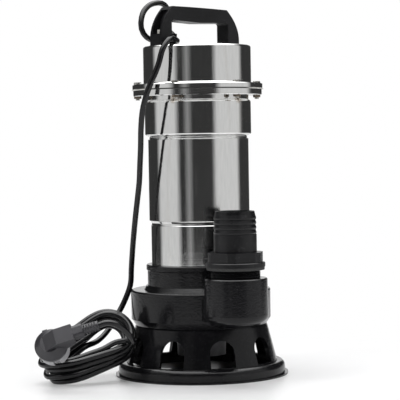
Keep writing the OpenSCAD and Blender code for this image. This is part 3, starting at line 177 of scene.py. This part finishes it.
class Finish:
    """A material whose colour, roughness and relief all come from noise at two scales."""

    def __init__(self, name, dark, light, rough, fine=900, broad=25, stretch=(1, 1, 1),
                 relief=0.0001, metal=0.0, specular=0.5):
        self.mat = bpy.data.materials.new(name)
        self.mat.use_nodes = True
        self.tree = self.mat.node_tree
        self.shader = self.tree.nodes["Principled BSDF"]
        self.shader.inputs["Metallic"].default_value = metal
        self.shader.inputs["Specular IOR Level"].default_value = specular
        where = self.node("ShaderNodeTexCoord").outputs["Object"]
        stretched = self.node("ShaderNodeMapping", Scale=stretch)
        self.link(where, stretched.inputs["Vector"])
        self.where = stretched.outputs["Vector"]
        self.fine = self.noise(fine, 3)
        self.broad = self.noise(broad, 5)
        blend = self.math("ADD", self.math("MULTIPLY", self.fine, 0.4),
                          self.math("MULTIPLY", self.broad, 0.6))
        self.colour = self.ramp(blend, [(0.32, dark), (0.68, light)])
        self.link(self.colour, self.shader.inputs["Base Color"])
        self.rough = self.span(blend, 0.3, 0.7, *rough)
        self.link(self.rough, self.shader.inputs["Roughness"])
        self.bump = self.node("ShaderNodeBump", Strength=1.0, Distance=relief)
        self.link(self.fine, self.bump.inputs["Height"])
        self.link(self.bump.outputs["Normal"], self.shader.inputs["Normal"])

    def node(self, kind, **values):
        made = self.tree.nodes.new(kind)
        for name, value in values.items():
            made.inputs[name].default_value = value
        return made

    def link(self, a, b):
        self.tree.links.new(a, b)

    def noise(self, scale, detail, where=None):
        made = self.node("ShaderNodeTexNoise", Scale=scale, Detail=detail)
        self.link(where or self.where, made.inputs["Vector"])
        return made.outputs["Fac"]

    def math(self, operation, *values):
        made = self.node("ShaderNodeMath")
        made.operation = operation
        for socket, value in zip(made.inputs, values):
            if isinstance(value, (int, float)):
                socket.default_value = value
            else:
                self.link(value, socket)
        return made.outputs[0]

    def span(self, value, low, high, to_low, to_high):
        made = self.node("ShaderNodeMapRange")
        for socket, number in zip(made.inputs[1:5], (low, high, to_low, to_high)):
            socket.default_value = number
        self.link(value, made.inputs[0])
        return made.outputs[0]

    def ramp(self, value, stops):
        made = self.node("ShaderNodeValToRGB")
        elements = made.color_ramp.elements
        while len(elements) < len(stops):
            elements.new(0.5)
        for element, (at, colour) in zip(elements, stops):
            element.position = at
            element.color = (*colour, 1) if len(colour) == 3 else colour
        self.link(value, made.inputs[0])
        return made.outputs[0]

    def tint(self, mask, colour, rough=None):
        """Where the mask is 1, the surface takes this colour, and this roughness if one is given."""
        mix = self.node("ShaderNodeMix")
        mix.data_type = "RGBA"
        self.link(mask, mix.inputs[0])
        self.link(self.colour, mix.inputs[6])
        mix.inputs[7].default_value = (*colour, 1)
        self.colour = mix.outputs[2]
        self.link(self.colour, self.shader.inputs["Base Color"])
        if rough is not None:
            mix = self.node("ShaderNodeMix")
            self.link(mask, mix.inputs[0])
            self.link(self.rough, mix.inputs[2])
            mix.inputs[3].default_value = rough
            self.rough = mix.outputs[0]
            self.link(self.rough, self.shader.inputs["Roughness"])

    def relief(self, height, distance):
        """A second layer of relief on top of the grain."""
        made = self.node("ShaderNodeBump", Strength=1.0, Distance=distance)
        self.link(height, made.inputs["Height"])
        self.link(self.bump.outputs["Normal"], made.inputs["Normal"])
        self.link(made.outputs["Normal"], self.shader.inputs["Normal"])
        self.bump = made

    def on(self, *objects):
        """Puts the material on these pieces, or on the CAD nodes of these names."""
        for thing in objects:
            piece = nodes[thing] if isinstance(thing, str) else thing
            if not piece.material_slots:
                piece.data.materials.append(self.mat)
            for material_slot in piece.material_slots:
                material_slot.material = self.mat


# The sheath is matt black rubber with a fine pull grain and a little pale dust
rubber_sheath = Finish("rubber_sheath", (0.003, 0.003, 0.0035), (0.007, 0.007, 0.008), (0.16, 0.25),
                       fine=1400, broad=60, relief=0.00003, specular=0.35)
dust = rubber_sheath.span(rubber_sheath.noise(420, 6), 0.62, 0.78, 0, 0.25)
rubber_sheath.tint(dust, (0.07, 0.07, 0.07), 0.6)
rubber_sheath.on(mains_cord)


# ---------- Plug ----------
# An angled earthed plug, moulded in black PVC round a grey pin carrier with two round plated
# pins. Its slotted strain relief is moulded on with it.

plug_pvc = Finish("plug_pvc", (0.016, 0.0155, 0.018), (0.030, 0.029, 0.034), (0.3, 0.44),
                  fine=1600, broad=45, relief=0.00008, specular=0.45)
plug_pvc.on("plug_body", "plug_strain_relief")
plug_grey = Finish("plug_grey", (0.26, 0.26, 0.27), (0.36, 0.36, 0.37), (0.4, 0.55),
                   fine=1500, broad=40, relief=0.00006)
plug_grey.on("plug_face")
nickel = Finish("nickel", (0.55, 0.54, 0.5), (0.72, 0.71, 0.68), (0.16, 0.3), fine=1300, broad=70,
                relief=0.00003, metal=1.0)
nickel.on("plug_pins")


def round_edges(names, width, segments=2):
    """The moulded or cast edges of these CAD nodes get a small radius."""
    for name in names:
        edge = nodes[name].modifiers.new("edge_radius", "BEVEL")
        edge.width = width
        edge.segments = segments
        edge.limit_method = "ANGLE"
        edge.angle_limit = math.radians(35)
        edge.harden_normals = False


round_edges(["plug_body"], 0.0008, 2)

# ---------- Foot, strainer and pump casing ----------
# Grey iron castings, stoved with gloss black paint. The paint fills the casting's skin unevenly,
# so it has an orange-peel grain and a few dull patches. Its pale specks are partly dust that sat in it
# and partly painted glints.


def stove_paint(name, rough, broad):
    paint = Finish(name, (0.0025, 0.0025, 0.003), (0.007, 0.007, 0.008), rough,
                   fine=520, broad=broad, relief=0.00009, specular=0.26)
    paint.relief(paint.noise(260, 3), 0.00012)
    # Pale specks: partly dust, partly painted glints, a painted highlight in the base colour.
    dust_and_painted_glints = paint.span(paint.noise(1500, 2), 0.68, 0.74, 0, 0.6)
    paint.tint(dust_and_painted_glints, (0.12, 0.12, 0.12), 0.55)
    return paint


stove_paint("strainer_paint", (0.09, 0.2), 22).on("strainer_base")
stove_paint("volute_paint", (0.06, 0.15), 18).on("volute_casing")
stove_paint("neck_paint", (0.08, 0.18), 26).on("oil_chamber")
stove_paint("plate_paint", (0.3, 0.45), 30).on("base_plate")


# ---------- Suction side and impeller ----------
# The suction cover and the impeller are plain iron castings. The cutter is hardened and ground.

cast_iron = Finish("cast_iron", (0.09, 0.09, 0.095), (0.17, 0.17, 0.175), (0.45, 0.65), fine=700,
                   broad=35, relief=0.0003, metal=0.7)
rust_bloom = cast_iron.span(cast_iron.noise(90, 6), 0.6, 0.75, 0, 0.4)
cast_iron.tint(rust_bloom, (0.16, 0.075, 0.035), 0.8)
cast_iron.on("suction_cover", "impeller")
ground_steel = Finish("ground_steel", (0.5, 0.5, 0.52), (0.68, 0.68, 0.7), (0.14, 0.28), fine=1800,
                      broad=50, stretch=(1, 1, 6), relief=0.00003, metal=1.0)
ground_steel.on("cutter_ring", "cutter_blade", "impeller_key", "spacer_sleeve", "shaft",
                "lower_bearing_outer", "lower_bearing_inner", "upper_bearing_outer",
                "upper_bearing_inner", "lower_bearing_balls", "upper_bearing_balls")


# ---------- Screws, bolts and nuts ----------
# Zinc-plated steel with a dulled, slightly yellow plating. The flange nuts have rusted.

plated = Finish("zinc_plate", (0.5, 0.49, 0.46), (0.74, 0.73, 0.7), (0.22, 0.42), fine=1100,
                broad=110, relief=0.00005, metal=1.0)
tarnish = plated.span(plated.noise(260, 5), 0.52, 0.72, 0, 0.5)
plated.tint(tarnish, (0.3, 0.25, 0.17), 0.5)
plated.on("base_screws", "casing_screws", "cutter_nut", "volute_bolts", "oil_plug",
          "flange_bolts", "handle_screws")
rusty = Finish("rusty_nut", (0.05, 0.04, 0.03), (0.2, 0.16, 0.12), (0.45, 0.7), fine=900,
               broad=240, relief=0.0003, metal=0.3)
rusty.on("flange_nuts")


# ---------- Hose tail ----------
# Glass-filled black plastic, moulded with its thread, collar, hexagon and barbs, on a rubber washer.

black_moulding = Finish("black_moulding", (0.003, 0.003, 0.0035), (0.008, 0.008, 0.009), (0.24, 0.38),
                        fine=1300, broad=35, relief=0.00006, specular=0.27)
scuffs = black_moulding.span(black_moulding.noise(300, 7), 0.62, 0.74, 0, 0.3)
black_moulding.tint(scuffs, (0.07, 0.07, 0.072), 0.55)
black_moulding.on("hose_tail", "gland_body", "gland_nut", "thermal_protector")
soft_rubber = Finish("soft_rubber", (0.012, 0.012, 0.012), (0.03, 0.03, 0.03), (0.55, 0.75),
                     fine=900, broad=50, relief=0.0001)
soft_rubber.on("hose_tail_washer", "seal_bellows", "barrel_o_ring", "gland_seal")
ceramic = Finish("ceramic", (0.72, 0.71, 0.68), (0.84, 0.83, 0.8), (0.12, 0.22), relief=0.00002)
ceramic.on("seal_seat")
carbon = Finish("carbon", (0.03, 0.03, 0.032), (0.06, 0.06, 0.062), (0.3, 0.45), relief=0.00005)
carbon.on("seal_face")


# ---------- Motor barrel, flange and top can ----------
# Thin stainless sheet, drawn and swaged. The mill finish mirrors the studio in upright bands that
# waver a little with the sheet, and carries fine lines round the drum and dried water marks.


def stainless(name, rough, waver):
    sheet = Finish(name, (0.68, 0.685, 0.68), (0.8, 0.8, 0.79), rough, fine=420, broad=14,
                   stretch=(1, 1, 0.12), relief=0.00003, metal=1.0)
    round_lines = sheet.node("ShaderNodeMapping", Scale=(3, 3, 900))
    sheet.link(sheet.tree.nodes["Texture Coordinate"].outputs["Object"], round_lines.inputs["Vector"])
    sheet.relief(sheet.noise(1, 2, round_lines.outputs["Vector"]), 0.00002)
    sheet.relief(sheet.noise(34, 2), waver)
    marks = sheet.span(sheet.noise(70, 8), 0.58, 0.7, 0, 0.35)
    sheet.tint(marks, (0.62, 0.6, 0.57), 0.34)
    return sheet


barrel_sheet = stainless("barrel_sheet", (0.05, 0.12), 0.00016)
barrel_sheet.on("motor_barrel")
stainless("can_sheet", (0.045, 0.1), 0.00014).on("top_cap")
stainless("flange_ring", (0.08, 0.16), 0.0001).on("barrel_flange")

# Rust from the nuts has run onto the barrel's shoulder in three places
for at, size in (((-0.0300, -0.0580, 0.3385), 0.0045), ((-0.0235, -0.0608, 0.3390), 0.003),
                 ((0.0500, -0.0420, 0.3395), 0.006)):
    offset = barrel_sheet.node("ShaderNodeVectorMath")
    offset.operation = "DISTANCE"
    barrel_sheet.link(barrel_sheet.tree.nodes["Texture Coordinate"].outputs["Object"],
                      offset.inputs[0])
    offset.inputs[1].default_value = at
    ragged = barrel_sheet.math("ADD", offset.outputs["Value"], barrel_sheet.math(
        "MULTIPLY", barrel_sheet.noise(330, 4), size))
    barrel_sheet.tint(barrel_sheet.span(ragged, 1.9 * size, 1.2 * size, 0, 0.45),
                      (0.45, 0.33, 0.2), 0.4)
    barrel_sheet.tint(barrel_sheet.span(ragged, 1.2 * size, 0.95 * size, 0, 1),
                      (0.035, 0.022, 0.008), 0.8)

# The flange gasket is pale fibre, but its base colour is painted dark as painted shade across the
# front, where the upper ring shades the gap.
shaded_gasket = Finish("gasket_painted_shade", (0.02, 0.02, 0.02), (0.05, 0.05, 0.048), (0.6, 0.8), fine=1500,
               broad=90, relief=0.0001)
across = shaded_gasket.node("ShaderNodeSeparateXYZ")
shaded_gasket.link(shaded_gasket.where, across.inputs[0])
# Only towards the left and right ends does the gasket keep its own pale grey; the dark front is painted
# shade.
shaded_gasket.tint(shaded_gasket.span(shaded_gasket.math("ABSOLUTE", across.outputs["X"]), 0.058, 0.066, 0, 0.9),
           (0.7, 0.69, 0.66))
shaded_gasket.on("flange_gasket")


# ---------- Motor ----------
# Die-cast brackets, laminated cores and enamelled copper windings.

die_cast = Finish("die_cast", (0.4, 0.41, 0.42), (0.56, 0.57, 0.58), (0.35, 0.5), fine=800,
                  broad=40, relief=0.00015, metal=0.9)
die_cast.on("lower_bracket", "upper_bracket")
laminated = Finish("laminations", (0.3, 0.31, 0.33), (0.42, 0.43, 0.46), (0.35, 0.5), fine=600,
                   broad=30, relief=0.00005, metal=1.0)
sheets = laminated.node("ShaderNodeTexWave", Scale=320, Distortion=0.4)
sheets.bands_direction = "Z"
laminated.link(laminated.where, sheets.inputs["Vector"])
laminated.relief(sheets.outputs["Fac"], 0.0002)
laminated.on("rotor_core", "stator_core")
copper = Finish("enamelled_copper", (0.42, 0.13, 0.05), (0.7, 0.27, 0.11), (0.2, 0.34), fine=900,
                broad=60, relief=0.00005, metal=0.9)
wires = copper.node("ShaderNodeTexWave", Scale=260, Distortion=3)
wires.wave_type = "RINGS"
wires.rings_direction = "Z"
copper.link(copper.where, wires.inputs["Vector"])
copper.relief(wires.outputs["Fac"], 0.0003)
copper.on("stator_windings")


# ---------- Under the top can ----------
# The run capacitor in its sleeve and clip, and the terminal block.

sleeve = Finish("capacitor_sleeve", (0.03, 0.09, 0.2), (0.05, 0.13, 0.28), (0.25, 0.4), fine=900,
                broad=40, relief=0.00006)
sleeve.on("capacitor")
plated.on("capacitor_clip")
cream = Finish("cream_moulding", (0.62, 0.6, 0.52), (0.75, 0.73, 0.66), (0.4, 0.55), fine=1000,
               broad=60, relief=0.00006)
cream.on("terminal_block")


# ---------- Handle ----------
# One black moulding with rounded edges and a fine matt grain, dusty where hands don't rub it.

grip = Finish("handle_moulding", (0.0035, 0.0035, 0.004), (0.009, 0.009, 0.010), (0.28, 0.42),
              fine=1500, broad=30, relief=0.0001, specular=0.24)
grip_dust = grip.span(grip.noise(520, 7), 0.6, 0.74, 0, 0.2)
grip.tint(grip_dust, (0.07, 0.07, 0.07), 0.7)
grip.on("handle")
round_edges(["handle"], 0.0016, 3)


# ---------- Studio ----------
# A white floor that keeps the shadow and a faint gloss, and a white surround. Only gloss sees the
# rest: a dark room with three tall white panels, a white wall behind and a softbox overhead.

# Each panel starts and ends at so many degrees round the pump, 0 at the camera, at its brightness
left_panel = (-110, -40, 0.7)
slim_panel = (-35, -10, 0.3)
right_panel = (30, 110, 0.7)
panel_edge = 12
dark_room = 0.04

# The wall behind is dark up to its start on either side, and at its full brightness 4 degrees on
wall_start, wall_full = 165, 169
wall_lit = 0.9
softbox_strength = 5.0
daylight = 0.62
world = bpy.data.worlds.new("studio")
scene.world = world
world.use_nodes = True
air = world.node_tree
air.nodes.clear()


def air_math(operation, *values):
    made = air.nodes.new("ShaderNodeMath")
    made.operation = operation
    for socket, value in zip(made.inputs, values):
        if isinstance(value, (int, float)):
            socket.default_value = value
        else:
            air.links.new(value, socket)
    return made.outputs[0]


def air_span(value, none_at, all_at):
    made = air.nodes.new("ShaderNodeMapRange")
    made.inputs["From Min"].default_value = none_at
    made.inputs["From Max"].default_value = all_at
    air.links.new(value, made.inputs["Value"])
    return made.outputs[0]


def air_light(colour, strength=1.0):
    made = air.nodes.new("ShaderNodeBackground")
    if isinstance(colour, (int, float)):
        colour = (colour, colour, colour)
    if isinstance(colour, tuple):
        made.inputs["Color"].default_value = (*colour, 1)
    else:
        air.links.new(colour, made.inputs["Color"])
    made.inputs["Strength"].default_value = strength
    return made.outputs[0]


def air_mix(factor, a, b):
    made = air.nodes.new("ShaderNodeMixShader")
    air.links.new(factor, made.inputs[0])
    air.links.new(a, made.inputs[1])
    air.links.new(b, made.inputs[2])
    return made.outputs[0]


direction = air.nodes.new("ShaderNodeSeparateXYZ")
air.links.new(air.nodes.new("ShaderNodeTexCoord").outputs["Generated"], direction.inputs[0])
east, north, height = direction.outputs
azimuth = air_math("ARCTAN2", east, air_math("MULTIPLY", north, -1))
brightness = dark_room
for start, end, lit in (left_panel, slim_panel, right_panel):
    past_start = air_span(azimuth, math.radians(start), math.radians(start + panel_edge))
    before_end = air_span(azimuth, math.radians(end), math.radians(end - panel_edge))
    panel = air_math("MULTIPLY", air_math("MULTIPLY", past_start, before_end), lit)
    brightness = air_math("MAXIMUM", brightness, panel)
either_side = air_math("ABSOLUTE", azimuth)
behind = air_span(either_side, math.radians(wall_start), math.radians(wall_full))
brightness = air_math("MAXIMUM", brightness, air_math("MULTIPLY", behind, wall_lit))
overhead = air_span(height, 0.6, 0.85)
mirrored = air_mix(overhead, air_light(brightness), air_light(1.0, softbox_strength))
rays = air.nodes.new("ShaderNodeLightPath").outputs
shiny = air_math("MAXIMUM", rays["Is Glossy Ray"], rays["Is Transmission Ray"])
seen = air_mix(shiny, air_light(daylight), mirrored)
seen = air_mix(rays["Is Camera Ray"], seen, air_light(1.0))
air.links.new(seen, air.nodes.new("ShaderNodeOutputWorld").inputs["Surface"])

floor_r = 1.6
bpy.ops.mesh.primitive_circle_add(vertices=96, radius=floor_r, fill_type="NGON", location=(0, 0, 0))
floor = bpy.context.object
floor.name = "floor"
floor_finish = bpy.data.materials.new("white_floor")
floor_finish.use_nodes = True
ground = floor_finish.node_tree
board = ground.nodes["Principled BSDF"]
board.inputs["Base Color"].default_value = (0.93, 0.93, 0.935, 1)
board.inputs["Roughness"].default_value = 0.3
board.inputs["Specular IOR Level"].default_value = 0.3
ground_at = ground.nodes.new("ShaderNodeTexCoord").outputs["Object"]
reach = ground.nodes.new("ShaderNodeVectorMath")
reach.operation = "LENGTH"
ground.links.new(ground_at, reach.inputs[0])
fade = ground.nodes.new("ShaderNodeMapRange")
fade.interpolation_type = "SMOOTHSTEP"
for socket, number in zip(fade.inputs[1:5], (0.15, 0.38, 0, 1)):
    socket.default_value = number
ground.links.new(reach.outputs["Value"], fade.inputs[0])
ground_rays = ground.nodes.new("ShaderNodeLightPath").outputs
faded = ground.nodes.new("ShaderNodeMath")
faded.operation = "MULTIPLY"
ground.links.new(fade.outputs[0], faded.inputs[0])
ground.links.new(ground_rays["Is Camera Ray"], faded.inputs[1])
white = ground.nodes.new("ShaderNodeEmission")
white.inputs["Strength"].default_value = 1.0
blend_floor = ground.nodes.new("ShaderNodeMixShader")
ground.links.new(faded.outputs[0], blend_floor.inputs[0])
ground.links.new(board.outputs[0], blend_floor.inputs[1])
ground.links.new(white.outputs[0], blend_floor.inputs[2])
ground.links.new(blend_floor.outputs[0], ground.nodes["Material Output"].inputs["Surface"])
floor.data.materials.append(floor_finish)


def soft_lamp(name, at, size, watts):
    lamp = bpy.data.lights.new(name, "AREA")
    lamp.shape = "DISK"
    lamp.size = size
    lamp.energy = watts
    piece = bpy.data.objects.new(name, lamp)
    piece.location = at
    piece.rotation_euler = (Vector((0, 0, 0.2)) - Vector(at)).to_track_quat("-Z", "Y").to_euler()
    piece.visible_glossy = False
    scene.collection.objects.link(piece)


soft_lamp("lamp_left", (-1.3, -1.1, 1.5), 1.0, 14)
soft_lamp("lamp_right", (1.4, -0.7, 1.3), 1.0, 9)
soft_lamp("lamp_top", (0, 0.2, 2.0), 1.4, 12)
